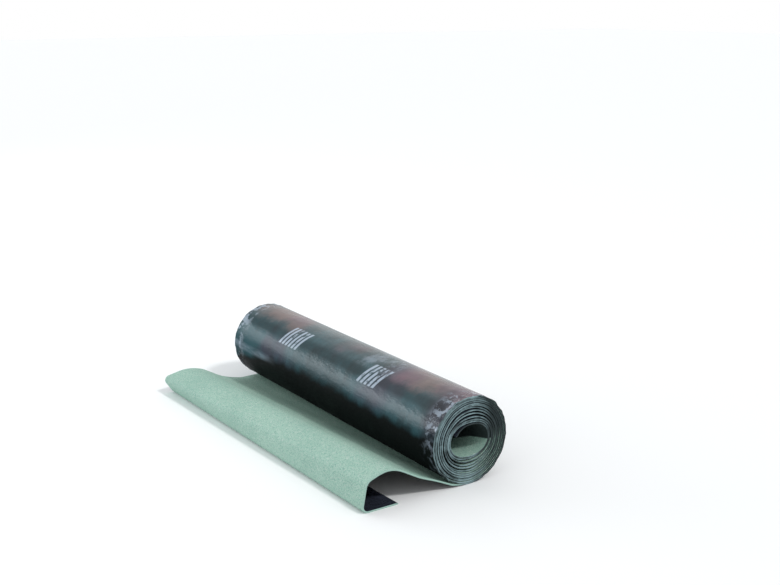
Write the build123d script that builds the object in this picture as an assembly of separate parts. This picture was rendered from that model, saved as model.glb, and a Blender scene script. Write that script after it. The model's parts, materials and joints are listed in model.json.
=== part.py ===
from build123d import *
import math
import os

# A roll of roofing felt: one long bituminous sheet wound on itself, lying on
# the floor with its free end unrolled, humped up and folded under.
# Millimetres. +Y runs along the roll's axis, +Z is up and the free end lies
# towards -X. The origin is on the floor in the middle of all that it covers.

# The sheet
sheet_width = 1000.0
sheet_thickness = 4.0

# The winding
roll_diameter = 220.0
winding_gap = 0.3
bore_width = 104.0
bore_height = 76.0

# The spiral line between the turns, as it shows on both ends
seam_width = 1.0
seam_depth = 3.0

# Where the sheet leaves the roll, in degrees past its lowest line
leave_angle = 6.0

# The free end at the roll's near end, run by run from bend to bend
near_lead = 34.0
near_foot_out = 93.0
near_foot_rise = 40.0
near_flank_out = 82.0
near_flank_rise = 45.0
near_crown_out = 63.0
near_crown_drop = 21.0
near_wall_lean = 18.0
near_tuck = 98.0

# The free end at the roll's far end, where it lies flatter and its wall
# leans back in under the crown
far_lead = 78.0
far_foot_out = 57.0
far_foot_rise = 11.0
far_flank_out = 101.0
far_flank_rise = 53.0
far_crown_out = 91.0
far_crown_drop = 19.0
far_wall_lean = -30.0
far_tuck = 62.0

# The bends along the middle of the sheet, from the roll outwards
foot_radius = 105.0
flank_radius = 240.0
near_crest_radius = 72.0
far_crest_radius = 130.0
near_shoulder_radius = 20.0
far_shoulder_radius = 12.0
fold_radius = 14.0

# How the winding and the free end are drawn
arcs_per_turn = 7
sections_across = 9
seam_overrun = 0.01
round_turns_share = 0.45
longest_bend_share = 0.49

roll_radius = roll_diameter / 2
half_thickness = sheet_thickness / 2
turn_pitch = sheet_thickness + winding_gap
turns = (roll_radius - sheet_thickness - bore_width / 2) / turn_pitch
near_y = -sheet_width / 2
far_y = sheet_width / 2
along_axis = Vector(0, 1, 0)
leave = math.radians(leave_angle)


def sag(turn):
    """How flat a turn lies: nothing in the outer turns, most at the open middle."""
    depth = (turn / turns - round_turns_share) / (1 - round_turns_share)
    share = min(max(depth, 0), 1)
    return (1 - bore_height / bore_width) * share * share * (3 - 2 * share)


def winding_point(turn, inward, y):
    """A point of the winding, so many turns in and so far below the outer face."""
    angle = 2 * math.pi * turn - leave
    radius = roll_radius - turn_pitch * turn - inward
    radius = radius * (1 - sag(turn) * math.cos(angle) ** 2)
    return Vector(radius * math.sin(angle), y, roll_radius - radius * math.cos(angle))


def winding_arcs(first, last, inward, y):
    """One face of the sheet's edge from one turn to another, as a chain of arcs."""
    count = math.ceil((last - first) * arcs_per_turn)
    step = (last - first) / count
    arcs = []
    for index in range(count):
        marks = [first + step * (index + part) for part in (0, 0.5, 1)]
        arcs.append(ThreePointArc(*[winding_point(mark, inward, y) for mark in marks]))
    return arcs


def stepped_ring(first, inward):
    """A full turn of the winding, closed by the step that one turn makes."""
    wall = winding_arcs(first, first + 1, inward, near_y)
    return make_face([*wall, Line(wall[-1] @ 1, wall[0] @ 0)])


def seam(y, into_the_roll):
    """The gap between the turns at one end, from the free end's root to the bore."""
    outside = -winding_gap / 2 - seam_width / 2
    inside = outside + seam_width
    ends = (1 - seam_overrun, turns + seam_overrun)
    outer = winding_arcs(*ends, outside, y)
    inner = winding_arcs(*ends, inside, y)
    mouth = Line(outer[0] @ 0, inner[0] @ 0)
    close = Line(outer[-1] @ 1, inner[-1] @ 1)
    band = make_face([*outer, close, *inner, mouth])
    return extrude(band, amount=seam_depth, dir=into_the_roll)


def wound_roll():
    """All the turns as one body, open in the middle."""
    body = extrude(stepped_ring(0, 0), amount=sheet_width, dir=along_axis)
    middle = extrude(
        stepped_ring(turns - 1, sheet_thickness), amount=sheet_width, dir=along_axis
    )
    return body - middle


def between(near, far, far_share):
    """A size or a place part of the way from the near end to the far end."""
    return near + (far - near) * far_share


def bends_of(corners):
    """Start, corner, end and centre of each bend, kept within its two runs."""
    far_share = (corners[0].Y - near_y) / sheet_width
    crest_radius = between(near_crest_radius, far_crest_radius, far_share)
    shoulder_radius = between(near_shoulder_radius, far_shoulder_radius, far_share)
    radii = [foot_radius, flank_radius, crest_radius, shoulder_radius, fold_radius]
    bends = []
    for before, corner, after, radius in zip(corners, corners[1:], corners[2:], radii):
        arriving = corner - before
        leaving = after - corner
        sine = arriving.X * leaving.Z - arriving.Z * leaving.X
        half_turn = math.atan2(sine, arriving.X * leaving.X + arriving.Z * leaving.Z) / 2
        room = longest_bend_share * min(arriving.length, leaving.length)
        reach = min(radius * abs(math.tan(half_turn)), room)
        normal = Vector(-arriving.Z, 0, arriving.X).normalized()
        start = corner - arriving.normalized() * reach
        end = corner + leaving.normalized() * reach
        bends.append((start, corner, end, start + normal * (reach / math.tan(half_turn))))
    return bends


def sheet_side(root, bends, offset):
    """One face of the sheet's edge: straight runs joined by arcs."""
    edges = []
    here = root
    for start, corner, end, centre in bends:
        outward = (start - centre).normalized()
        turns_left = (corner - start).cross(centre - start).Y < 0
        grown = offset * (-1 if turns_left else 1)
        radius = (start - centre).length + grown
        begin = centre + outward * radius
        middle = centre + (corner - centre).normalized() * radius
        finish = centre + (end - centre).normalized() * radius
        edges.append(Line(here, begin))
        edges.append(ThreePointArc(begin, middle, finish))
        here = finish
    return edges


def sheet_section(corners):
    """The sheet's edge from where it leaves the roll to the end of its fold."""
    y = corners[0].Y
    bends = bends_of(corners)
    upper = sheet_side(winding_point(0, sheet_thickness, y), bends, -half_thickness)
    lower = sheet_side(winding_point(0, 0, y), bends, half_thickness)
    tip = Line(upper[-1] @ 1, lower[-1] @ 1)
    root = Line(lower[0] @ 0, upper[0] @ 0)
    return make_face([*upper, tip, *lower, root])


def corners_of(root, runs, wall_lean, tuck):
    """Where the sheet's middle would turn if its bends were sharp."""
    corners = [root]
    for run in runs:
        corners.append(corners[-1] + run)
    shoulder = corners[-1]
    corners.append(Vector(shoulder.X - wall_lean, root.Y, half_thickness))
    corners.append(corners[-1] + Vector(tuck, 0, 0))
    return corners


def near_corners():
    """The free end as it rises from the roll to its high hump."""
    lead = Vector(-math.cos(leave), 0, math.sin(leave)) * near_lead
    runs = [
        lead,
        Vector(-near_foot_out, 0, near_foot_rise),
        Vector(-near_flank_out, 0, near_flank_rise),
        Vector(-near_crown_out, 0, -near_crown_drop),
    ]
    root = winding_point(0, half_thickness, near_y)
    return corners_of(root, runs, near_wall_lean, near_tuck)


def far_corners():
    """The free end as it lies on the floor first and then humps lower."""
    root = winding_point(0, half_thickness, far_y)
    runs = [
        Vector(-far_lead, 0, half_thickness - root.Z),
        Vector(-far_foot_out, 0, far_foot_rise),
        Vector(-far_flank_out, 0, far_flank_rise),
        Vector(-far_crown_out, 0, -far_crown_drop),
    ]
    return corners_of(root, runs, far_wall_lean, far_tuck)


def sections_between(near, far):
    """The sheet's corners at even steps across its width."""
    sections = []
    for index in range(sections_across):
        far_share = index / (sections_across - 1)
        sections.append([between(a, b, far_share) for a, b in zip(near, far)])
    return sections


def free_end(sections):
    """The hump from the roll to the fold."""
    return loft([sheet_section(corners) for corners in sections], ruled=True)


def tucked_strip(sections):
    """The last strip of the sheet, flat on the floor under the hump."""
    folds = [bends_of(corners)[-1][2] for corners in sections]
    tips = [sections[0][-1], sections[-1][-1]]
    outline = [*folds, *reversed(tips)]
    flat = Polyline([Vector(point.X, point.Y, 0) for point in outline], close=True)
    return extrude(make_face(flat), amount=sheet_thickness, dir=Vector(0, 0, 1))


sections = sections_between(near_corners(), far_corners())
felt_roll = wound_roll() + free_end(sections) + tucked_strip(sections)
felt_roll = felt_roll - seam(near_y, along_axis) - seam(far_y, -along_axis)
covered = felt_roll.bounding_box()
felt_roll = Pos(-covered.center().X, 0, -covered.min.Z) * felt_roll

os.makedirs("parts", exist_ok=True)
export_step(felt_roll, "parts/felt_roll.step")
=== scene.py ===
import json
import math

import bpy
import numpy as np
from bpy.props import FloatProperty, FloatVectorProperty, IntProperty, PointerProperty
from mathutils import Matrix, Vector, noise


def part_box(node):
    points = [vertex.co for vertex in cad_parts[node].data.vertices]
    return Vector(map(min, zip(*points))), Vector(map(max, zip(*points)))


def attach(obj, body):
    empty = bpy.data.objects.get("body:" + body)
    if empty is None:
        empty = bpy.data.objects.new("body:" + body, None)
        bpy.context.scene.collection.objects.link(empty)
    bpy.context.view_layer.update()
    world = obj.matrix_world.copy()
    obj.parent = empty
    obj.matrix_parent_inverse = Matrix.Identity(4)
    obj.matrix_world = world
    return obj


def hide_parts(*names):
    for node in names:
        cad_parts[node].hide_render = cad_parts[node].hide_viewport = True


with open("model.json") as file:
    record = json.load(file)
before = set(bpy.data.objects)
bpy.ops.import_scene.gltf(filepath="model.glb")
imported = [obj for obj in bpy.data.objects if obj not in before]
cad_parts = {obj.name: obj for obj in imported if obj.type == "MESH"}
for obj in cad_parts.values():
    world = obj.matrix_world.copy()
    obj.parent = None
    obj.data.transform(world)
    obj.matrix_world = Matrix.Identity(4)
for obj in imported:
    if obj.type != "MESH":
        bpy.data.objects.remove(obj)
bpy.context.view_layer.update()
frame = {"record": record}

bl_info = {
    "name": "Roll of roofing felt",
    "version": (1, 0, 0),
    "blender": (4, 5, 0),
    "location": "3D View > Sidebar > Felt",
    "description": "Builds a roll of mineral-faced roofing felt with its free end unrolled",
    "category": "Object",
}

# Metres. The roll's axis runs along Y through the open middle's mount.
OPEN_MIDDLE = next(m for m in frame["record"]["mounts"] if m["name"] == "open_middle")
AXIS_X = OPEN_MIDDLE["pos_m"][0]
AXIS_Z = OPEN_MIDDLE["pos_m"][2]
NEAR_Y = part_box("felt_roll")[0].y
FAR_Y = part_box("felt_roll")[1].y
JUST_OFF_FLOOR = 0.0002

# The sheet is made in two pieces that part at this turn. Its thin edges are
# bevelled in steps: how much of the bevel lies in and how much is cut off.
SPLIT_TURN = 1.12
BEVEL = 0.0007
BEVEL_STEPS = ((0.0, 1.0), (0.3, 0.3))
SHARP_ANGLE = math.radians(50)

# Each point of the sheet keeps its place along, across and through the sheet.
# The roll is where the first is below nothing.
SHEET_PLACE = "sheet_place"
FILM, MINERAL, CUT_EDGE = 0, 1, 2

# The share of the turns that stay round, and of a run that a bend may use.
ROUND_SHARE = 0.45
LONGEST_BEND_SHARE = 0.49

# The share of a turn over which the inner end eases out of the spiral, before
# it stands free.
LIP_EASE = 0.12

# Rows across the sheet: how many near each edge, how many between them, how far
# in the close ones go and how strongly they close up.
OUTER_ROWS = (26, 66, 0.11)
INNER_ROWS = (9, 12, 0.05)
CLOSING_UP = 1.6

# Lengths over which the sheet changes: from pressed to its full thickness, and
# the unevenness of the free end and of the outer turn from nothing to its full
# height. The tip of the free end stays flat.
THICKENS_OVER = 0.05
FREE_END_EASE = 0.09
FLAT_TIP = 0.10
TIP_EASE = 0.07
LIFTED_EDGE_REACH = 0.012
TURN_START_EASE = 0.06
TURN_END_EASE = 0.03

# How the sheet wanders: how fast along it and across it, and the noise's seed.
WANDERS = {
    "loose turns": (2.3, 1.4, 3.0),
    "slow slide": (0.83, 0.0, 11.0),
    "quick slide": (3.1, 0.0, 12.0),
    "waves": (7.0, 5.0, 5.0),
    "small waves": (15.0, 11.0, 6.0),
    "dents": (6.0, 3.2, 8.0),
    "crinkles": (42.0, 30.0, 9.0),
    "small crinkles": (95.0, 60.0, 10.0),
    "outer near edge": (90.0, 0.0, 21.0),
    "outer far edge": (90.0, 0.0, 22.0),
    "inner near edge": (90.0, 0.0, 31.0),
    "inner far edge": (90.0, 0.0, 32.0),
}
WANDER_HEIGHT = 1.6
RAGGED_DEPTH = 0.0004
RAGGED_REACH = 0.03

# The finishes' soft noise: its scale, or its scales in three directions, then
# its detail and its roughness.
CLOUDS = {
    "bloom": (9.0, 5.0, 0.6),
    "tinge": (5.0, 3.0, 0.5),
    "streaks": ((9.0, 30.0, 1.0), 4.0, 0.6),
    "haze": ((30.0, 7.0, 1.0), 4.0, 0.6),
    "stains": ((5.0, 4.0, 5.0), 3.0, 0.5),
    "worn ink": (60.0, 5.0, 0.7),
    "rubbed ink": ((20.0, 26.0, 1.0), 5.0, 0.7),
    "scuffs": (42.0, 4.0, 0.65),
    "wrinkles": ((38.0, 14.0, 1.0), 5.0, 0.6),
    "film grain": (900.0, 2.0, 0.5),
    "granule patches": (7.0, 4.0, 0.5),
    "granule relief": (260.0, 3.0, 0.5),
    "dust": (55.0, 5.0, 0.7),
    "smears": (17.0, 4.0, 0.6),
    "dust by turn": ((7.0, 0.0, 0.0), 4.0, 0.6),
    "fibres": (420.0, 4.0, 0.7),
    "lumps": (90.0, 4.0, 0.7),
    "floor": (3.0, 2.0, 0.5),
}
GRANULE_SCALE = 620.0

# The printed marks: blocks of hatching, by where each begins across the sheet
# and how many bars it has, in rows along the sheet.
HATCH_BLOCKS = ((0.156, 6), (-0.232, 5))
HATCH_BAR_STEP = 0.0167
HATCH_BAR = (0.0058, 0.0044)
HATCH_LEAN = 0.35
HATCH_ROW_START = 0.60
HATCH_ROW_STEP = 0.36
HATCH_ROW = (0.034, 0.031)

# How far the outer sheet's film goes back along the roll, and where the painted
# shade on the granules begins. Then the turns at which the open middle and the inner end
# do.
OUTER_FILM = 0.76
PAINTED_SHADE_FROM = 0.9
MIDDLE_TURN = 10.22
INNER_END_TURN = 12.3

# The stage
FLOOR_REACH = 30.0
SKY_COLOUR = (0.95, 0.98, 1.0, 1.0)
BACKDROP_COLOUR = (1.0, 1.0, 1.0, 1.0)
SUN_ANGLE = math.radians(8)
SUN_PLACE = (0.28, -0.72, 0.95)
SUN_TARGET = (0.0, 0.0, 0.0)
SOFTBOX_COLOUR = (0.86, 0.95, 1.0)
SOFTBOX_SIZE = (4.0, 1.5)
SOFTBOX_PLACE = (-2.7, 4.0, 1.15)
SOFTBOX_TARGET = (0.1, 0.0, 0.17)
SENSOR_WIDTH = 36.0


def size(name, default, description, lowest=0.0):
    """A length that a user can change."""
    return FloatProperty(
        name=name, default=default, description=description, min=lowest, unit="LENGTH"
    )


def colour(name, default, description):
    """A colour that a user can change."""
    return FloatVectorProperty(
        name=name,
        default=default,
        description=description,
        subtype="COLOR",
        size=3,
        min=0.0,
        max=1.0,
    )


def share(name, default, description, highest=1.0):
    """A plain number from nothing to its highest value."""
    return FloatProperty(
        name=name, default=default, description=description, min=0.0, max=highest
    )


class FeltWinding(bpy.types.PropertyGroup):
    """The sheet and how it is wound."""

    thickness: size("Thickness", 0.004, "Thickness of the sheet")
    pressed: size("Pressed thickness", 0.0034, "Thickness of the sheet inside the roll")
    radius: size("Radius", AXIS_Z, "Outer radius of the roll")
    pitch: size("Pitch", 0.0043, "How far one turn lies inside the one before")
    bore_width: size("Bore width", 0.104, "Width of the open middle")
    bore_height: size("Bore height", 0.076, "Height of the sagged open middle")
    lip_turns: share("Lip", 0.15, "Share of a turn by which the inner end stands free")
    lip_lift: size("Lip lift", 0.008, "How far the inner end stands off the turn below")
    loose: size("Looseness", 0.0013, "How much the turns wander from an even spiral")
    slide: size("Slide", 0.0034, "How far the turns slide past each other at the ends")
    leave: FloatProperty(
        name="Leaving angle",
        default=math.radians(6),
        description="Where the free end leaves the roll, past its lowest line",
        subtype="ANGLE",
    )


class FeltNearHump(bpy.types.PropertyGroup):
    """The free end at the roll's near end, run by run from bend to bend."""

    lead: size("Lead", 0.034, "Straight run out of the roll")
    foot_out: size("Foot run", 0.093, "Width of the first slope")
    foot_rise: size("Foot rise", 0.040, "Rise of the first slope")
    flank_out: size("Flank run", 0.082, "Width of the slope up to the crest")
    flank_rise: size("Flank rise", 0.045, "Rise of the slope up to the crest")
    crown_out: size("Crown run", 0.063, "Width of the slope past the crest")
    crown_drop: size("Crown drop", 0.021, "Fall of the slope past the crest")
    wall_lean: size("Wall lean", 0.018, "How far the wall leans outwards")
    tuck: size("Tuck", 0.098, "Length folded under")
    crest_radius: size("Crest radius", 0.072, "Radius of the crest")
    shoulder_radius: size("Shoulder radius", 0.020, "Radius at the top of the wall")


class FeltFarHump(bpy.types.PropertyGroup):
    """The free end at the roll's far end, where it lies flatter."""

    lead: size("Lead", 0.078, "Straight run down to the floor")
    foot_out: size("Foot run", 0.057, "Width of the first slope")
    foot_rise: size("Foot rise", 0.011, "Rise of the first slope")
    flank_out: size("Flank run", 0.101, "Width of the slope up to the crest")
    flank_rise: size("Flank rise", 0.053, "Rise of the slope up to the crest")
    crown_out: size("Crown run", 0.091, "Width of the slope past the crest")
    crown_drop: size("Crown drop", 0.019, "Fall of the slope past the crest")
    wall_lean: size("Wall lean", -0.030, "How far the wall leans outwards", -1.0)
    tuck: size("Tuck", 0.062, "Length folded under")
    crest_radius: size("Crest radius", 0.130, "Radius of the crest")
    shoulder_radius: size("Shoulder radius", 0.012, "Radius at the top of the wall")


class FeltFreeEnd(bpy.types.PropertyGroup):
    """What both ends of the hump share, and how uneven the sheet is."""

    foot_radius: size("Foot radius", 0.105, "Radius of the first bend")
    flank_radius: size("Flank radius", 0.240, "Radius of the bend up the slope")
    fold_radius: size("Fold radius", 0.014, "Radius of the fold on the floor")
    wave: size("Waves", 0.0022, "Height of the broad waves in the free end")
    dent: size("Dents", 0.0012, "Depth of the broad dents in the outer turn")
    crinkle: size("Crinkle", 0.0036, "Height of the crinkles along the roll's rims")
    crinkle_reach: size("Crinkle reach", 0.018, "How far in from the rim crinkles go")
    rolled_edge: size("Rolled edge", 0.0025, "How far the free end's near edge lifts")


class FeltColours(bpy.types.PropertyGroup):
    """The colours of the sheet's two faces, its print and its cut edge."""

    film: colour("Film", (0.0025, 0.0035, 0.0035), "Torch-off film where it is darkest")
    # Painted sheen: this teal is the veil laid over the film's upper side.
    film_bloom_and_sheen: colour("Bloom", (0.026, 0.077, 0.092), "Grey-teal bloom on the film")
    film_tinge: colour("Tinge", (0.041, 0.048, 0.070), "Lilac-grey tinge on the film")
    film_stain: colour("Stain", (0.200, 0.104, 0.088), "Brownish stains on the film")
    film_mauve: colour("Mauve", (0.175, 0.085, 0.112), "Mauve parts of the stains")
    # The print's ink is also the tint of the painted reflection low on the tail's side, and
    # of the rims' scuffs.
    print_ink_and_reflection: colour("Print", (0.40, 0.47, 0.56), "Ink of the plain printed marks")
    # The granules' colour is also the painted highlight on the free end's cut edge.
    granule: colour("Granules", (0.342, 0.522, 0.432), "Most of the mineral granules")
    granule_dark: colour("Dark granules", (0.17, 0.32, 0.27), "The darker granules")
    granule_pale: colour("Pale granules", (0.55, 0.62, 0.57), "The palest granules")
    # This bitumen colour is also the painted shade deep inside the roll.
    edge: colour("Cut edge", (0.016, 0.024, 0.025), "Bitumen in the cut edge")
    edge_dust: colour("Edge dust", (0.23, 0.33, 0.35), "Mineral dust on the cut edge")


class FeltStage(bpy.types.PropertyGroup):
    """Floor, light and camera."""

    floor: colour("Floor", (0.93, 0.93, 0.93), "Colour of the floor")
    sky: share("Sky", 0.80, "Strength of the even light from all round", 4.0)
    sun: share("Sun", 1.15, "Strength of the broad soft sun", 20.0)
    softbox: share("Softbox", 80.0, "Power of the long softbox beside the roll", 500.0)
    camera_place: FloatVectorProperty(
        name="Camera",
        default=(-1.4492, -2.475, 1.107),
        description="Where the camera stands",
        subtype="TRANSLATION",
        unit="LENGTH",
    )
    camera_turn: FloatProperty(
        name="Turn",
        default=math.radians(-34.07),
        description="Camera heading, clockwise from +Y",
        subtype="ANGLE",
    )
    camera_pitch: FloatProperty(
        name="Pitch",
        default=math.radians(14.35),
        description="How far the camera looks down",
        subtype="ANGLE",
    )
    lens: FloatProperty(
        name="Lens", default=53.1, description="Focal length in millimetres", min=1.0
    )


class FeltDetail(bpy.types.PropertyGroup):
    """How finely the meshes are divided."""

    turn_columns: IntProperty(
        name="Columns in the outer turn", default=240, description="Steps round it"
    )
    inner_columns: IntProperty(
        name="Columns in an inner turn", default=60, description="Steps round each"
    )
    run_step: size("Free end step", 0.0048, "Step along the free end")
    bend_columns: IntProperty(
        name="Columns in a tight bend", default=11, description="Steps round it"
    )


def smooth(value):
    """Eases from nothing to one."""
    held = np.clip(value, 0.0, 1.0)
    return held * held * (3.0 - 2.0 * held)


def wander(kind, along, across):
    """Smooth noise from about -1 to 1 over two arrays of places."""
    along_scale, across_scale, seed = WANDERS[kind]
    places = zip(np.ravel(along * along_scale), np.ravel(across * across_scale))
    found = [noise.noise(Vector((a, b, seed))) for a, b in places]
    return np.array(found).reshape(np.shape(along)) * WANDER_HEIGHT


class Winding:
    """The spiral that the sheet follows inside the roll."""

    def __init__(self, sizes):
        self.sizes = sizes
        wall = sizes.radius - sizes.thickness - sizes.bore_width / 2
        self.turns = wall / sizes.pitch
        self.last_turn = self.turns + sizes.lip_turns
        self.mean_radius = (sizes.radius + sizes.bore_width / 2) / 2

    def along(self, turn):
        """The place along the sheet of a turn inside the outer one."""
        return -turn * 2.0 * math.pi * self.mean_radius

    def sag(self, turn):
        """How flat a turn lies: nothing in the outer turns, most in the middle."""
        depth = (turn / self.turns - ROUND_SHARE) / (1.0 - ROUND_SHARE)
        return (1.0 - self.sizes.bore_height / self.sizes.bore_width) * smooth(depth)

    def place(self, turn, y, inward):
        """Points of the winding and their outward directions, as x, z, nx and nz."""
        sizes = self.sizes
        angle = 2.0 * math.pi * turn - sizes.leave
        inner = np.clip(turn - 1.0, 0.0, 1.0)
        loose = sizes.loose * inner * wander("loose turns", turn, y)
        lip_share = (turn - self.turns + LIP_EASE) / (sizes.lip_turns + LIP_EASE)
        lip = sizes.lip_lift * smooth(lip_share) ** 2
        radius = sizes.radius - sizes.pitch * turn - inward + loose - lip
        radius = radius * (1.0 - self.sag(turn) * np.cos(angle) ** 2)
        x = AXIS_X + radius * np.sin(angle)
        z = AXIS_Z - radius * np.cos(angle)
        return x, z, np.sin(angle), -np.cos(angle)


def corners_at(share_across, winding, near, far, thickness):
    """Where the sheet's middle would turn at one line across, if bends were sharp."""
    y = NEAR_Y + (FAR_Y - NEAR_Y) * share_across
    root_x, root_z, _, _ = winding.place(np.zeros(1), np.array([y]), thickness / 2)
    root = np.array([root_x[0], root_z[0]])
    leave = winding.sizes.leave
    lead_near = np.array([-math.cos(leave), math.sin(leave)]) * near.lead
    lead_far = np.array([-far.lead, thickness / 2 - root[1]])

    def outline(hump, lead):
        steps = [
            lead,
            np.array([-hump.foot_out, hump.foot_rise]),
            np.array([-hump.flank_out, hump.flank_rise]),
            np.array([-hump.crown_out, -hump.crown_drop]),
        ]
        corners = [root]
        for step in steps:
            corners.append(corners[-1] + step)
        foot = np.array([corners[-1][0] - hump.wall_lean, thickness / 2])
        corners.append(foot)
        corners.append(foot + np.array([hump.tuck, 0.0]))
        return np.array(corners)

    near_line = outline(near, lead_near)
    far_line = outline(far, lead_far)
    return near_line + (far_line - near_line) * share_across


def turned(arm, angle):
    """An arm turned by an angle about its root."""
    cosine, sine = math.cos(angle), math.sin(angle)
    return np.array([arm[0] * cosine - arm[1] * sine, arm[0] * sine + arm[1] * cosine])


def bend_at(before, corner, after, radius):
    """Where a bend starts, its centre, the angle it turns and where it ends."""
    arriving = corner - before
    leaving = after - corner
    sine = arriving[0] * leaving[1] - arriving[1] * leaving[0]
    angle = math.atan2(sine, float(arriving @ leaving))
    room = LONGEST_BEND_SHARE * min(np.linalg.norm(arriving), np.linalg.norm(leaving))
    reach = min(radius * abs(math.tan(angle / 2)), room)
    along = arriving / np.linalg.norm(arriving)
    start = corner - along * reach
    centre = start + np.array([-along[1], along[0]]) * (reach / math.tan(angle / 2))
    end = corner + leaving / np.linalg.norm(leaving) * reach
    return start, centre, angle, end


def bent_line(corners, radii, counts):
    """Straight runs joined by arcs: points, film-side directions and lengths."""
    points = []
    here = corners[0]
    for index, radius in enumerate(radii):
        start, centre, angle, end = bend_at(*corners[index : index + 3], radius)
        run_count, bend_count = counts[2 * index], counts[2 * index + 1]
        for step in range(run_count):
            points.append(here + (start - here) * step / run_count)
        for step in range(bend_count):
            points.append(centre + turned(start - centre, angle * step / bend_count))
        here = end
    for step in range(counts[-1] + 1):
        points.append(here + (corners[-1] - here) * step / counts[-1])
    points = np.array(points)
    steps = np.linalg.norm(np.diff(points, axis=0), axis=1)
    lengths = np.concatenate([[0.0], np.cumsum(steps)])
    tangent = np.gradient(points, axis=0)
    tangent /= np.linalg.norm(tangent, axis=1)[:, None]
    film_side = np.stack([-tangent[:, 1], tangent[:, 0]], axis=1)
    return points, film_side, lengths


def rows_across(margin_rows, middle_rows, margin):
    """Places across the sheet, closer together near both of its edges."""
    ease = np.linspace(0.0, 1.0, margin_rows) ** CLOSING_UP
    near_rows = NEAR_Y + BEVEL + (margin - BEVEL) * ease
    middle = np.linspace(NEAR_Y + margin, FAR_Y - margin, middle_rows + 2)[1:-1]
    far_rows = FAR_Y - BEVEL - (margin - BEVEL) * ease[::-1]
    return np.concatenate([near_rows, middle, far_rows])


def ring_of(rows):
    """The sheet's section as a ring: y, share of the half thickness and bevel cut."""
    near = [(NEAR_Y + BEVEL * out, cut) for out, cut in BEVEL_STEPS]
    far = [(FAR_Y - BEVEL * out, cut) for out, cut in reversed(BEVEL_STEPS)]
    half = [*near, *[(y, 0.0) for y in rows], *far]
    y = np.array([a for a, _ in half] + [a for a, _ in reversed(half)])
    cut = np.array([c for _, c in half] + [c for _, c in reversed(half)]) * BEVEL
    side = np.array([1.0] * len(half) + [-1.0] * len(half))
    return y, side, cut


def sheet_mesh(name, x, y, z, place, side, finishes):
    """A closed sheet from columns along it and a ring of points round its section."""
    columns, ring = x.shape
    half = ring // 2
    vertices = np.stack([x, y, z], axis=-1).reshape(-1, 3)
    index = np.arange(columns * ring).reshape(columns, ring)
    beside = np.roll(index, -1, axis=1)
    faces = np.stack([index[:-1], beside[:-1], beside[1:], index[1:]], axis=-1)
    faces = faces.reshape(-1, 4)
    ring_finish = np.where(side > 0, FILM, MINERAL)
    bevels = len(BEVEL_STEPS)
    ring_finish[:bevels] = CUT_EDGE
    ring_finish[half - 1 - bevels : half + bevels] = CUT_EDGE
    ring_finish[ring - 1 - bevels :] = CUT_EDGE
    slots = np.tile(ring_finish, columns - 1)
    caps = []
    for column, order in ((0, 1), (columns - 1, -1)):
        for row in range(half - 1):
            lower = ring - 1 - row
            cap = [index[column, i] for i in (row, row + 1, lower - 1, lower)]
            caps.append(cap[::-order])
    faces = np.concatenate([faces, np.array(caps)])
    slots = np.concatenate([slots, np.full(len(caps), CUT_EDGE)])
    mesh = bpy.data.meshes.new(name)
    mesh.from_pydata(vertices.tolist(), [], faces.tolist())
    attribute = mesh.attributes.new(SHEET_PLACE, "FLOAT_VECTOR", "POINT")
    attribute.data.foreach_set("vector", place.reshape(-1).astype(np.float32))
    for finish in finishes:
        mesh.materials.append(finish)
    mesh.polygons.foreach_set("material_index", slots.astype(np.int32))
    mesh.polygons.foreach_set("use_smooth", np.ones(len(faces), bool))
    mesh.set_sharp_from_angle(angle=SHARP_ANGLE)
    mesh.validate()
    mesh.update()
    piece = bpy.data.objects.new(name, mesh)
    bpy.context.scene.collection.objects.link(piece)
    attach(piece, "root")
    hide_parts("felt_roll")
    return piece


def slide_of(turn, sizes):
    """How far a turn has slid along the roll."""
    inner = np.clip(turn - 1.0, 0.0, 1.0)
    slow = wander("slow slide", turn, np.zeros_like(turn))
    quick = wander("quick slide", turn, np.zeros_like(turn))
    return sizes.slide * inner * (0.7 * slow + 0.5 * quick)


def ragged(which, length, y):
    """The small unevenness of the cut edges, fading out towards the middle."""
    still = np.zeros_like(length)
    near = wander(f"{which} near edge", length, still)
    far = wander(f"{which} far edge", length, still)
    depth = RAGGED_DEPTH * np.where(y < 0, near, far)
    near_share = smooth(1.0 - np.abs(y - NEAR_Y) / RAGGED_REACH)
    far_share = smooth(1.0 - np.abs(y - FAR_Y) / RAGGED_REACH)
    return depth * (near_share + far_share)


def sheet_finishes(scene):
    """The finishes of the sheet, in the order of their slots."""
    return film_finish(scene), mineral_finish(scene), edge_finish(scene)


def bend_radii(free_end, hump):
    """The radius of each bend of the free end, from the roll outwards."""
    return [
        free_end.foot_radius,
        free_end.flank_radius,
        hump.crest_radius,
        hump.shoulder_radius,
        free_end.fold_radius,
    ]


def column_counts(scene, winding):
    """Columns in each run and bend of the free end, the same all the way across."""
    corners = corners_at(
        0.5, winding, scene.felt_near_hump, scene.felt_far_hump, winding.sizes.thickness
    )
    fewest = 3
    in_bend = scene.felt_detail.bend_columns
    runs = np.linalg.norm(np.diff(corners, axis=0), axis=1)
    half_steps = runs / 2 / scene.felt_detail.run_step
    lead, foot, flank, crown, _, tuck = [max(fewest, round(step)) for step in half_steps]
    foot_bend, flank_bend = foot, flank
    crest_bend, shoulder_bend, fold_bend = in_bend + 6, in_bend, in_bend + 2
    wall = fewest + 1
    return [
        lead,
        foot_bend,
        fewest,
        flank_bend,
        flank,
        crest_bend,
        crown,
        shoulder_bend,
        wall,
        fold_bend,
        tuck + fewest,
    ]


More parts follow.
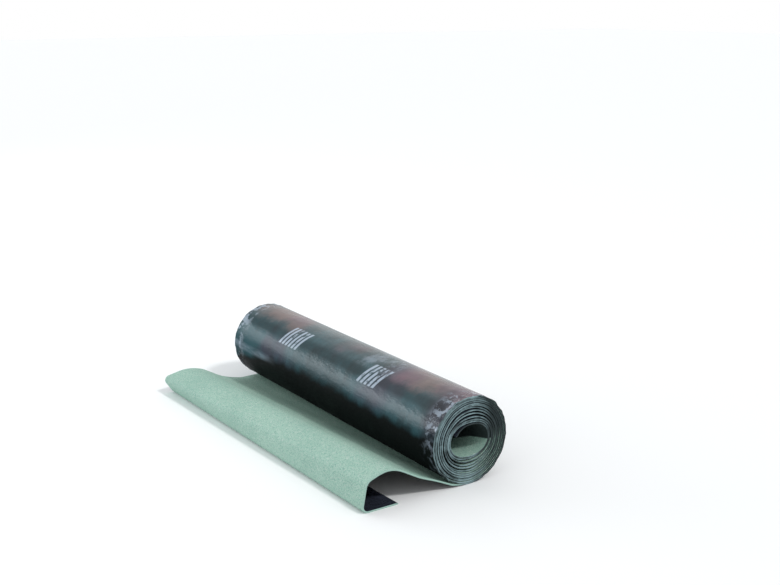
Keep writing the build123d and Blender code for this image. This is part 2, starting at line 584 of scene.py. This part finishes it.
def free_lines(scene, winding, y):
    """The free end's middle at each place across: x, z, film side and length."""
    near, far = scene.felt_near_hump, scene.felt_far_hump
    radii_near = bend_radii(scene.felt_free_end, near)
    radii_far = bend_radii(scene.felt_free_end, far)
    counts = column_counts(scene, winding)
    lines = {}
    for place_y in np.unique(y):
        across = (place_y - NEAR_Y) / (FAR_Y - NEAR_Y)
        corners = corners_at(across, winding, near, far, winding.sizes.thickness)
        radii = [a + (b - a) * across for a, b in zip(radii_near, radii_far)]
        lines[place_y] = bent_line(corners, radii, counts)
    points, film_side, length = [
        np.stack([lines[a][part] for a in y], axis=1) for part in range(3)
    ]
    return (
        points[:, :, 0],
        points[:, :, 1],
        film_side[:, :, 0],
        film_side[:, :, 1],
        length,
    )


def uneven_free_end(length, y, sizes):
    """Broad waves in the free end, and a near edge that lifts a little."""
    from_tip = length.max(axis=0) - length
    inside = smooth(length / FREE_END_EASE) * smooth((from_tip - FLAT_TIP) / TIP_EASE)
    waves = wander("waves", length, y) + 0.5 * wander("small waves", length, y)
    edge = np.exp(-(y - NEAR_Y) / LIFTED_EDGE_REACH)
    return inside * (sizes.wave * waves * 0.6 - sizes.rolled_edge * edge)


def uneven_outer_turn(length, y, sizes, round_length):
    """Shallow dents in the outer turn, and crinkles along its two rims."""
    from_start = round_length + length
    on_turn = smooth(-length / TURN_START_EASE) * smooth(from_start / TURN_END_EASE)
    dents = wander("dents", length, y) - 0.5
    reach = sizes.crinkle_reach
    rim = np.exp(-((y - NEAR_Y) / reach)) + 0.6 * np.exp(-((FAR_Y - y) / reach))
    folds = wander("crinkles", length, y) + 0.5 * wander("small crinkles", length, y)
    return on_turn * (sizes.dent * dents * 0.5 + sizes.crinkle * rim * folds * 0.5)


def build_outer_sheet(scene):
    """The outer turn and the free end as one sheet."""
    winding = Winding(scene.felt_winding)
    sizes = scene.felt_winding
    free_end = scene.felt_free_end
    y, side, cut = ring_of(rows_across(*OUTER_ROWS))
    turn = np.linspace(SPLIT_TURN, 0.0, scene.felt_detail.turn_columns, endpoint=False)
    turn_grid, y_grid = np.meshgrid(turn, y, indexing="ij")
    wound = winding.place(turn_grid, y_grid, sizes.thickness / 2)
    round_length = 2.0 * math.pi * (sizes.radius - sizes.thickness / 2)
    wound = (*wound, -turn_grid * round_length)
    free = free_lines(scene, winding, y)
    x, z, nx, nz, length = [np.concatenate(parts) for parts in zip(wound, free)]
    y_grid = np.tile(y, (x.shape[0], 1))

    lift = uneven_free_end(length, y_grid, free_end)
    lift = lift + uneven_outer_turn(length, y_grid, free_end, round_length)
    ease_in = smooth(length / THICKENS_OVER + 1.0)
    thick = sizes.pressed + (sizes.thickness - sizes.pressed) * ease_in
    tip = length.max(axis=0) - length
    bevel = BEVEL * (1.0 - smooth(tip / BEVEL))
    offset = side * (thick / 2 - cut - bevel) + lift
    x = x + nx * offset
    z = np.maximum(z + nz * offset, JUST_OFF_FLOOR)
    wound_turn = np.clip(-length / round_length, 0.0, None)
    y_out = y_grid + slide_of(wound_turn, sizes) + ragged("outer", length, y_grid)
    place = np.stack([length, y_grid, side * np.ones_like(length)], axis=-1)
    return sheet_mesh("outer_sheet", x, y_out, z, place, side, sheet_finishes(scene))


def build_wound_turns(scene):
    """All the turns inside the outer one, each lying free of the next."""
    winding = Winding(scene.felt_winding)
    sizes = scene.felt_winding
    y, side, cut = ring_of(rows_across(*INNER_ROWS))
    count = round((winding.last_turn - SPLIT_TURN) * scene.felt_detail.inner_columns)
    turn = np.linspace(winding.last_turn, SPLIT_TURN, count)
    turn_grid, y_grid = np.meshgrid(turn, y, indexing="ij")
    x, z, nx, nz = winding.place(turn_grid, y_grid, sizes.thickness / 2)
    length = winding.along(turn_grid)
    offset = side * (sizes.pressed / 2 - cut)
    x = x + nx * offset
    z = z + nz * offset
    y_out = y_grid + slide_of(turn_grid, sizes) + ragged("inner", length, y_grid)
    place = np.stack([length, y_grid, side * np.ones_like(length)], axis=-1)
    return sheet_mesh("wound_turns", x, y_out, z, place, side, sheet_finishes(scene))


class Level:
    """A value that varies over a surface; maths on it adds nodes."""

    def __init__(self, nodes, socket):
        self.nodes = nodes
        self.socket = socket

    def maths(self, operation, *values):
        """A Math node on these values."""
        node = self.nodes.add(
            "ShaderNodeMath", {"operation": operation}, dict(enumerate(values))
        )
        return Level(self.nodes, node.outputs[0])

    def highest(self, other):
        """The greater of two values."""
        return self.maths("MAXIMUM", self, other)

    def __add__(self, other):
        return self.maths("ADD", self, other)

    def __mul__(self, other):
        return self.maths("MULTIPLY", self, other)

    def __sub__(self, other):
        return self.maths("SUBTRACT", self, other)

    def __rsub__(self, other):
        return self.maths("SUBTRACT", other, self)

    def __lt__(self, other):
        return self.maths("LESS_THAN", self, other)

    def __gt__(self, other):
        return self.maths("GREATER_THAN", self, other)

    def __mod__(self, other):
        return self.maths("FLOORED_MODULO", self, other)

    __radd__ = __add__
    __rmul__ = __mul__

    def size(self):
        """The value without its sign."""
        return self.maths("ABSOLUTE", self)

    def between(self, nothing_at, one_at):
        """Eased from nothing at the first value to one at the second."""
        node = self.nodes.add(
            "ShaderNodeMapRange",
            {"interpolation_type": "SMOOTHSTEP"},
            {"Value": self, "From Min": nothing_at, "From Max": one_at},
        )
        return Level(self.nodes, node.outputs["Result"])


class Nodes:
    """The nodes of a material or a world."""

    def __init__(self, owner):
        owner.use_nodes = True
        self.tree = owner.node_tree
        self.tree.nodes.clear()

    def add(self, kind, settings=None, sockets=None):
        """Adds a node with its settings, and then its sockets' values or links."""
        node = self.tree.nodes.new(kind)
        for key, value in (settings or {}).items():
            if key == "stops":
                set_stops(node.color_ramp, value)
            else:
                setattr(node, key, value)
        for key, value in (sockets or {}).items():
            socket = node.inputs[key]
            if isinstance(value, Level):
                self.tree.links.new(value.socket, socket)
            elif isinstance(value, bpy.types.NodeSocket):
                self.tree.links.new(value, socket)
            else:
                socket.default_value = value
        return node

    def parts(self, vector):
        """The three parts of a vector."""
        node = self.add("ShaderNodeSeparateXYZ", {}, {0: vector})
        return [Level(self, out) for out in node.outputs]


class Finish(Nodes):
    """A material made of nodes, shared by all that ask for its name."""

    def __init__(self, name):
        found = bpy.data.materials.get(name)
        self.material = found or bpy.data.materials.new(name)
        super().__init__(self.material)

    def objects_place(self):
        """The place on the object, in metres."""
        return self.add("ShaderNodeTexCoord").outputs["Object"]

    def sheet_place(self):
        """The place on the sheet: along it, across it and through it."""
        node = self.add("ShaderNodeAttribute", {"attribute_name": SHEET_PLACE})
        return node.outputs["Vector"], self.parts(node.outputs["Vector"])

    def clouds(self, kind, place):
        """Soft noise about one half."""
        scale, detail, roughness = CLOUDS[kind]
        if isinstance(scale, tuple):
            stretched = self.add(
                "ShaderNodeVectorMath", {"operation": "MULTIPLY"}, {0: place, 1: scale}
            )
            place, scale = stretched.outputs[0], 1.0
        node = self.add(
            "ShaderNodeTexNoise",
            {},
            {"Vector": place, "Scale": scale, "Detail": detail, "Roughness": roughness},
        )
        return Level(self, node.outputs["Fac"])

    def blend(self, factor, first, second):
        """The first colour where the factor is nothing, the second where it is one."""
        node = self.add(
            "ShaderNodeMix",
            {"data_type": "RGBA"},
            {0: factor, 6: solid(first), 7: solid(second)},
        )
        return node.outputs[2]

    def bump(self, height, strength, distance, under=None):
        """A Bump node for a height, on top of another where there is one."""
        sockets = {"Height": height, "Strength": strength, "Distance": distance}
        if under is not None:
            sockets["Normal"] = under
        return self.add("ShaderNodeBump", {}, sockets).outputs[0]

    def shader(self, **sockets):
        """A Principled shader; a socket's name is written with underscores."""
        named = {key.replace("_", " "): value for key, value in sockets.items()}
        return self.add("ShaderNodeBsdfPrincipled", {}, named)

    def mix_shaders(self, factor, first, second):
        """The first shader at nothing, the second at one."""
        sockets = {0: factor, 1: first.outputs[0], 2: second.outputs[0]}
        return self.add("ShaderNodeMixShader", {}, sockets)

    def close(self, shader):
        """Joins the shader to the material's output."""
        self.add("ShaderNodeOutputMaterial", {}, {"Surface": shader.outputs[0]})
        return self.material


def set_stops(ramp, stops):
    """Gives a colour ramp its stops."""
    while len(ramp.elements) < len(stops):
        ramp.elements.new(1.0)
    for element, (position, shade) in zip(ramp.elements, stops):
        element.position = position
        element.color = solid(shade)


def solid(shade):
    """A colour with its alpha, where it is not a socket."""
    if isinstance(shade, bpy.types.NodeSocket):
        return shade
    return (*shade[:3], 1.0)


def hatching(leaning, first, bars):
    """A block of plain bars across the sheet, one for every bar's step."""
    from_first = leaning - first
    bar = (from_first % HATCH_BAR_STEP - HATCH_BAR_STEP / 2).size().between(*HATCH_BAR)
    half = bars * HATCH_BAR_STEP / 2
    return bar * ((from_first - half).size() < half)


def printed_marks(along, across):
    """Blocks of plain hatching, in rows that come back round the roll."""
    row = (along + HATCH_ROW_START) % HATCH_ROW_STEP - HATCH_ROW_STEP / 2
    leaning = across + row * HATCH_LEAN
    far_block, near_block = [hatching(leaning, *block) for block in HATCH_BLOCKS]
    on_turn = along < 0.0
    return (far_block + near_block) * row.size().between(*HATCH_ROW) * on_turn


class FilmFinish(Finish):
    """Torch-off film: dull black below; glossy above, with a teal veil of bloom laid on as
    a painted sheen, and stains on top.
    """

    def __init__(self, colours):
        super().__init__("torch_off_film")
        self.colours = colours
        self.place, (self.along, self.across, _) = self.sheet_place()
        self.spot = self.objects_place()
        facing = self.add("ShaderNodeNewGeometry").outputs["Normal"]
        sideways, _, self.upward = self.parts(facing)
        self.tail_side = sideways.between(0.0, -0.30)
        self.bloom = self.clouds("bloom", self.spot).between(0.32, 0.68)
        tinge = self.clouds("tinge", self.spot) - self.across * 0.15
        self.tinge = tinge.between(0.50, 0.68)
        self.streaks = self.clouds("streaks", self.place)
        self.on_turn = (self.along < 0.0) * (self.along > -OUTER_FILM)
        self.at_rims = self.across.size().between(0.435, 0.485)
        # Painted sheen: the pale veil lies on the film's upper side, where the sky would be
        # reflected. As a painted reflection it reaches lower toward the far end. Below it
        # the film stays black.
        far_painted_sheen = self.across.between(0.20, 0.52) * 0.45
        painted_sheen = self.upward + self.bloom * 0.12 + self.streaks * 0.06 + far_painted_sheen
        self.painted_sheen = painted_sheen.between(0.14, 0.40)
        # Painted shade: a darker band part way up the tail's side, where a darker
        # reflection would lie, thins the veil and the gloss.
        band = (self.upward - 0.76).size().between(0.15, 0.04)
        self.painted_band_shade = 1.0 - band * self.tail_side * 0.40

    def veiled_with_painted_sheen(self):
        """A veil of random bloom over black film, laid on its upper side as a painted
        sheen, greyer on the free end.
        """
        colours = self.colours
        cloudy = 0.25 + self.bloom * 0.55 + self.streaks * 0.55
        veil = self.painted_sheen * self.painted_band_shade * cloudy
        greyed = self.tinge.highest(self.along.between(0.0, 0.1))
        tone = self.blend(greyed, colours.film_bloom_and_sheen, colours.film_tinge)
        return self.blend(veil, colours.film, tone)

    def painted_low_reflection(self, shade):
        """A painted reflection: a pale streak low on the tail's side, toward the far end.
        """
        low = (self.upward - 0.06).size().between(0.15, 0.03)
        far = self.across.between(0.24, 0.36)
        uneven = self.clouds("haze", self.place).between(0.30, 0.65)
        haze = low * far * self.tail_side * uneven
        return self.blend(haze * 0.36, shade, self.colours.print_ink_and_reflection)

    def stained(self, shade):
        """Brown and mauve stains along the top, more of them toward both ends."""
        stain = self.clouds("stains", self.spot)
        top = (self.upward + self.bloom * 0.15).between(0.90, 1.06)
        toward_ends = (self.across + 0.04).size().between(0.16, 0.30)
        stained = (stain + toward_ends * 0.13 - self.across * 0.08).between(0.50, 0.74)
        stained = stained * top * self.on_turn * (0.32 + self.streaks * 0.55)
        colours = self.colours
        brown = self.blend(self.tinge, colours.film_stain, colours.film_mauve)
        return self.blend(stained, shade, brown)

    def printed(self, shade):
        """Worn printed marks, and a rubbed patch of ink above the nearer ones."""
        worn = self.clouds("worn ink", self.spot).between(0.34, 0.50)
        ink = printed_marks(self.along, self.across) * worn
        rubbed = self.clouds("rubbed ink", self.place).between(0.44, 0.62)
        patch = (self.across + 0.17).size().between(0.11, 0.05)
        patch = patch * self.upward.between(0.80, 0.95)
        ink = ink.highest(rubbed * patch * 0.35)
        return self.blend(ink * 0.85, shade, self.colours.print_ink_and_reflection)

    def scuffed_and_glinting(self, shade):
        """Pale scuffs along both rims, partly painted highlight: they are stronger on the
        upper side, with the painted sheen.
        """
        scuffs = self.clouds("scuffs", self.spot).between(0.50, 0.60)
        scuffs = scuffs * self.at_rims * (self.painted_sheen * 0.7 + 0.3)
        return self.blend(scuffs * self.on_turn * 0.6, shade, self.colours.print_ink_and_reflection)

    def relief(self):
        """Wrinkles, creases at the rims and a fine grain."""
        creases = self.clouds("scuffs", self.spot) * self.at_rims
        normal = self.bump(self.clouds("wrinkles", self.place), 0.55, 0.0035)
        normal = self.bump(creases, 0.8, 0.006, normal)
        return self.bump(self.clouds("film grain", self.spot), 0.25, 0.0003, normal)

    def gloss(self):
        """How glossy the film is: most on top and toward the near end."""
        wet_top = self.upward.between(0.90, 1.0) * self.across.between(-0.20, 0.25)
        amount = 0.76 - self.across * 0.65 + wet_top * 0.35
        return self.upward.between(0.05, 0.80) * self.painted_sheen * self.painted_band_shade * amount


def film_finish(scene):
    """The film as a dull and a glossy shader, mixed."""
    film = FilmFinish(scene.felt_colours)
    shade = film.stained(film.painted_low_reflection(film.veiled_with_painted_sheen()))
    surface = {
        "Base_Color": film.scuffed_and_glinting(film.printed(shade)),
        "Normal": film.relief(),
    }
    rough = 0.45 + film.bloom * 0.2
    dull = film.shader(Roughness=rough, Specular_IOR_Level=0.04, **surface)
    glossy = film.shader(Roughness=0.22, Specular_IOR_Level=0.5, **surface)
    return film.close(film.mix_shaders(film.gloss(), dull, glossy))


def mineral_finish(scene):
    """Pale green mineral granules, each with its own tint, pressed into the sheet, with
    painted shade deep in the roll.
    """
    colours = scene.felt_colours
    finish = Finish("mineral_granules")
    _, (along, across, _) = finish.sheet_place()
    spot = finish.objects_place()
    grains = finish.add(
        "ShaderNodeTexVoronoi", {}, {"Vector": spot, "Scale": GRANULE_SCALE}
    )
    split = finish.add("ShaderNodeSeparateColor", {}, {0: grains.outputs["Color"]})
    tint = Level(finish, split.outputs[0])
    stops = [
        (0.0, colours.granule_dark),
        (0.30, colours.granule),
        (0.78, colours.granule),
        (1.0, colours.granule_pale),
    ]
    tones = finish.add("ShaderNodeValToRGB", {"stops": stops}, {0: tint})
    patch = finish.clouds("granule patches", spot).between(0.35, 0.7)
    shade = finish.blend(patch * 0.22, tones.outputs[0], colours.granule_dark)

    # Painted shade: deeper in the roll, and from the rim on its upper walls, the granules
    # darken toward the bitumen colour where little light reaches; in the innermost turns
    # the change is a sharp painted shadow edge.
    _, _, height = finish.parts(spot)
    winding = Winding(scene.felt_winding)
    from_rim = FAR_Y - across.size() + (height - 0.095) * 4.0 + patch * 0.02
    gradual_shade = from_rim.between(0.0, 0.16)
    painted_shadow_edge = from_rim.between(0.040, 0.052)
    in_middle = along < winding.along(MIDDLE_TURN)
    darkened = gradual_shade + in_middle * (painted_shadow_edge - gradual_shade)
    darkened = darkened * (along < -PAINTED_SHADE_FROM)
    shade = finish.blend(darkened * 0.98, shade, colours.edge)

    grain = 1.0 - Level(finish, grains.outputs["Distance"])
    normal = finish.bump(finish.clouds("granule relief", spot), 0.5, 0.0012)
    normal = finish.bump(grain, 0.6, 0.0008, normal)
    shader = finish.shader(
        Base_Color=shade,
        Roughness=0.72 + tint * 0.2,
        Specular_IOR_Level=0.2,
        Normal=normal,
    )
    return finish.close(shader)


def edge_finish(scene):
    """The cut edge: dark bitumen with mineral dust, smeared across the turns, paler higher
    up, with a painted highlight on the free end.
    """
    colours = scene.felt_colours
    finish = Finish("cut_edge")
    spot = finish.objects_place()
    place, (along, _, through) = finish.sheet_place()
    beside, _, height = finish.parts(spot)
    dust = finish.clouds("dust", spot).between(0.38, 0.62)
    smear = finish.clouds("smears", spot).between(0.42, 0.58)
    by_turn = finish.clouds("dust by turn", place).between(0.42, 0.58)
    mineral_side = through.between(0.4, -0.9)
    amount = dust * 0.25 + smear * 0.50 + by_turn * 0.50
    amount = amount + mineral_side * 0.25 + (height - AXIS_Z) * 1.3 - 0.02

    # The right of the end face and the inner end are darker; the free end's cut edge is a
    # painted highlight, in the granules' colour.
    inner_end = Winding(scene.felt_winding).along(INNER_END_TURN)
    darkened = (beside - AXIS_X + smear * 0.03).between(0.022, 0.066)
    darkened = darkened.highest(along.between(inner_end, inner_end - 0.06))
    free = along.between(0.0, 0.04)
    amount = (amount * (1.0 - darkened * 0.95)).highest(free)
    shade = finish.blend(amount, colours.edge, colours.edge_dust)
    shade = finish.blend(free * 0.7, shade, colours.granule)

    normal = finish.bump(finish.clouds("lumps", spot), 0.7, 0.004)
    normal = finish.bump(finish.clouds("fibres", spot), 0.6, 0.0008, normal)
    shader = finish.shader(
        Base_Color=shade,
        Roughness=0.45 + dust * 0.4,
        Specular_IOR_Level=0.15,
        Normal=normal,
    )
    return finish.close(shader)


def floor_finish(scene):
    """A plain pale floor."""
    finish = Finish("pale_floor")
    grain = finish.clouds("floor", finish.objects_place())
    tone = scene.felt_stage.floor
    shade = finish.blend(grain * 0.3, tone, [part * 0.985 for part in tone])
    return finish.close(finish.shader(Base_Color=shade, Roughness=0.9))


def lay_floor(scene):
    """A wide floor under the roll."""
    mesh = bpy.data.meshes.new("floor")
    ways = ((-1, -1), (1, -1), (1, 1), (-1, 1))
    corners = [(FLOOR_REACH * a, FLOOR_REACH * b, 0.0) for a, b in ways]
    mesh.from_pydata(corners, [], [(0, 1, 2, 3)])
    mesh.materials.append(floor_finish(scene))
    floor = bpy.data.objects.new("floor", mesh)
    scene.collection.objects.link(floor)


def light_world(scene):
    """Even light from all round, and a white backdrop wherever it is seen."""
    world = bpy.data.worlds.new("studio")
    scene.world = world
    sky = Nodes(world)
    path = sky.add("ShaderNodeLightPath")
    camera, glossy, through = [
        Level(sky, path.outputs[f"Is {kind} Ray"])
        for kind in ("Camera", "Glossy", "Transmission")
    ]
    seen = camera.highest(glossy.highest(through))
    even = sky.add(
        "ShaderNodeBackground",
        {},
        {"Color": SKY_COLOUR, "Strength": scene.felt_stage.sky},
    )
    white = sky.add("ShaderNodeBackground", {}, {"Color": BACKDROP_COLOUR})
    mixed = sky.add(
        "ShaderNodeMixShader", {}, {0: seen, 1: even.outputs[0], 2: white.outputs[0]}
    )
    sky.add("ShaderNodeOutputWorld", {}, {"Surface": mixed.outputs[0]})


def aim(lamp, place, target):
    """Stands a lamp at a place and turns it to a target."""
    lamp.location = place
    lamp.rotation_mode = "QUATERNION"
    lamp.rotation_quaternion = (Vector(target) - Vector(place)).to_track_quat("-Z", "Y")


def hang_lamps(scene):
    """A soft sun from the front, and a long softbox low beside the roll."""
    sun = bpy.data.lights.new("soft_sun", "SUN")
    sun.energy = scene.felt_stage.sun
    sun.angle = SUN_ANGLE
    softbox = bpy.data.lights.new("softbox", "AREA")
    softbox.energy = scene.felt_stage.softbox
    softbox.color = SOFTBOX_COLOUR
    softbox.shape = "RECTANGLE"
    softbox.size, softbox.size_y = SOFTBOX_SIZE
    for data, place, target in (
        (sun, SUN_PLACE, SUN_TARGET),
        (softbox, SOFTBOX_PLACE, SOFTBOX_TARGET),
    ):
        lamp = bpy.data.objects.new(data.name, data)
        scene.collection.objects.link(lamp)
        lamp.visible_camera = False
        aim(lamp, place, target)


def stand_camera(scene):
    """The camera where the picture was taken from."""
    stage = scene.felt_stage
    data = bpy.data.cameras.new("camera")
    data.lens = stage.lens
    data.sensor_width = SENSOR_WIDTH
    camera = bpy.data.objects.new("camera", data)
    camera.location = stage.camera_place
    camera.rotation_euler = (math.pi / 2 - stage.camera_pitch, 0.0, stage.camera_turn)
    scene.collection.objects.link(camera)
    scene.camera = camera


class FELT_OT_stage(bpy.types.Operator):
    """Lay the floor, light the scene and stand the camera"""

    bl_idname = "felt.stage"
    bl_label = "Stage"

    def execute(self, context):
        scene = context.scene
        scene.view_settings.view_transform = "Standard"
        stand_camera(scene)
        lay_floor(scene)
        light_world(scene)
        hang_lamps(scene)
        return {"FINISHED"}


class FELT_OT_outer_sheet(bpy.types.Operator):
    """Make the outer turn with its free end, humped and folded under"""

    bl_idname = "felt.outer_sheet"
    bl_label = "Outer turn and free end"

    def execute(self, context):
        build_outer_sheet(context.scene)
        return {"FINISHED"}


class FELT_OT_wound_turns(bpy.types.Operator):
    """Wind the turns inside the outer one, down to the open middle"""

    bl_idname = "felt.wound_turns"
    bl_label = "Inner turns"

    def execute(self, context):
        build_wound_turns(context.scene)
        return {"FINISHED"}


class FELT_PT_roll(bpy.types.Panel):
    """The roll's sizes, colours and build steps"""

    bl_label = "Roll of roofing felt"
    bl_idname = "FELT_PT_roll"
    bl_space_type = "VIEW_3D"
    bl_region_type = "UI"
    bl_category = "Felt"

    def draw(self, context):
        for operator in OPERATORS:
            self.layout.operator(operator.bl_idname)
        for name in GROUPS:
            group = getattr(context.scene, name)
            box = self.layout.box()
            for key in group.bl_rna.properties.keys():
                if key not in ("rna_type", "name"):
                    box.prop(group, key)


OPERATORS = (FELT_OT_stage, FELT_OT_outer_sheet, FELT_OT_wound_turns)
GROUPS = {
    "felt_winding": FeltWinding,
    "felt_near_hump": FeltNearHump,
    "felt_far_hump": FeltFarHump,
    "felt_free_end": FeltFreeEnd,
    "felt_colours": FeltColours,
    "felt_detail": FeltDetail,
    "felt_stage": FeltStage,
}


def register():
    """Adds the settings, the operators and the panel."""
    for group in GROUPS.values():
        bpy.utils.register_class(group)
    for name, group in GROUPS.items():
        setattr(bpy.types.Scene, name, PointerProperty(type=group))
    for operator in OPERATORS:
        bpy.utils.register_class(operator)
    bpy.utils.register_class(FELT_PT_roll)


def unregister():
    """Takes them away again."""
    bpy.utils.unregister_class(FELT_PT_roll)
    for operator in reversed(OPERATORS):
        bpy.utils.unregister_class(operator)
    for name, group in GROUPS.items():
        delattr(bpy.types.Scene, name)
        bpy.utils.unregister_class(group)


def main():
    """Builds the roll and its stage."""
    register()
    bpy.ops.felt.stage()
    bpy.ops.felt.outer_sheet()
    bpy.ops.felt.wound_turns()


if __name__ == "__main__":
    main()
